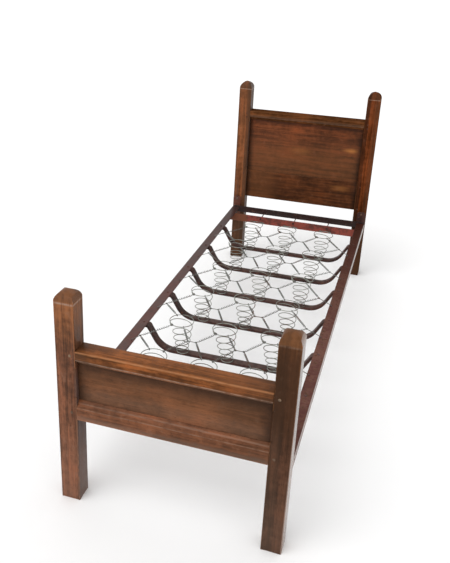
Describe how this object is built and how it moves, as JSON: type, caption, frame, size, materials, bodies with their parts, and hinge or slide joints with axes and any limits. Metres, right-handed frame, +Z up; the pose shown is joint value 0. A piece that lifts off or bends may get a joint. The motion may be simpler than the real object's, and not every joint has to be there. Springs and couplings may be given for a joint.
{
  "type": "bed frame",
  "caption": "Single bed frame with a low panelled oak foot, a taller oak head, angle-iron side rails and an open deck of coil springs linked by helical wire on dropped cross laths",
  "frame": {"origin": "On the floor, at the middle of the bed's footprint", "axes": "+X across the bed to the right of a viewer who stands at the foot, +Y from the foot to the head, +Z up"},
  "size_m": [0.69, 2.0526, 0.951],
  "materials": {
    "oak": "dark-stained oak, waxed and worn at the arrises",
    "dark_oak": "dark-stained oak panels with strong grain",
    "peg_oak": "paler end grain of the pegs",
    "painted_iron": "old purple-brown paint, chipped and rubbed",
    "oxide_iron": "red oxide paint, dull",
    "spring_steel": "drawn steel wire, dulled with age",
    "screw_steel": "plain steel screws and bolts, dulled"
  },
  "bodies": {
    "frame": {"foot_post_left": "oak", "foot_post_right": "oak", "head_post_left": "oak", "head_post_right": "oak", "foot_top_rail": "oak", "foot_panel": "dark_oak", "foot_bottom_rail": "oak", "foot_pegs": "peg_oak", "head_top_rail": "oak", "head_panel": "dark_oak", "head_bottom_rail": "dark_oak", "head_pegs": "peg_oak", "side_rail_left": "painted_iron", "side_rail_right": "painted_iron", "bracket_foot_left": "painted_iron", "bracket_foot_right": "painted_iron", "bracket_head_left": "painted_iron", "bracket_head_right": "painted_iron", "bracket_screws": "screw_steel", "bracket_bolts": "screw_steel", "foot_end_bar": "painted_iron", "head_end_bar": "painted_iron", "end_bar_bolts": "screw_steel", "foot_cross_bar": "oxide_iron", "head_cross_bar": "oxide_iron", "cross_bar_cleats": "painted_iron", "cross_bar_rivets": "painted_iron", "foot_tie_rods": "painted_iron", "head_tie_rods": "painted_iron", "cross_lath_1": "painted_iron", "cross_lath_2": "painted_iron", "cross_lath_3": "painted_iron", "cross_lath_4": "painted_iron", "cross_lath_5": "painted_iron", "cross_lath_6": "painted_iron", "lath_rivets": "painted_iron", "spring_row_1": "spring_steel", "spring_row_2": "spring_steel", "spring_row_3": "spring_steel", "spring_row_4": "spring_steel", "spring_row_5": "spring_steel", "spring_row_6": "spring_steel", "spring_clips": "painted_iron", "side_ties_left": "spring_steel", "side_ties_right": "spring_steel", "foot_ties": "spring_steel", "head_ties": "spring_steel"},
    "spring_deck": {"deck_links": "spring_steel"}
  },
  "joints": [
    {"name": "deck_sink", "type": "slide", "parent": "frame", "child": "spring_deck", "axis": [0, 0, 1], "range_m": [-0.05, 0], "stiffness_N_per_m": 20000, "deforming": ["spring_row_1", "spring_row_2", "spring_row_3", "spring_row_4", "spring_row_5", "spring_row_6", "side_ties_left", "side_ties_right", "foot_ties", "head_ties"]}
  ]
}
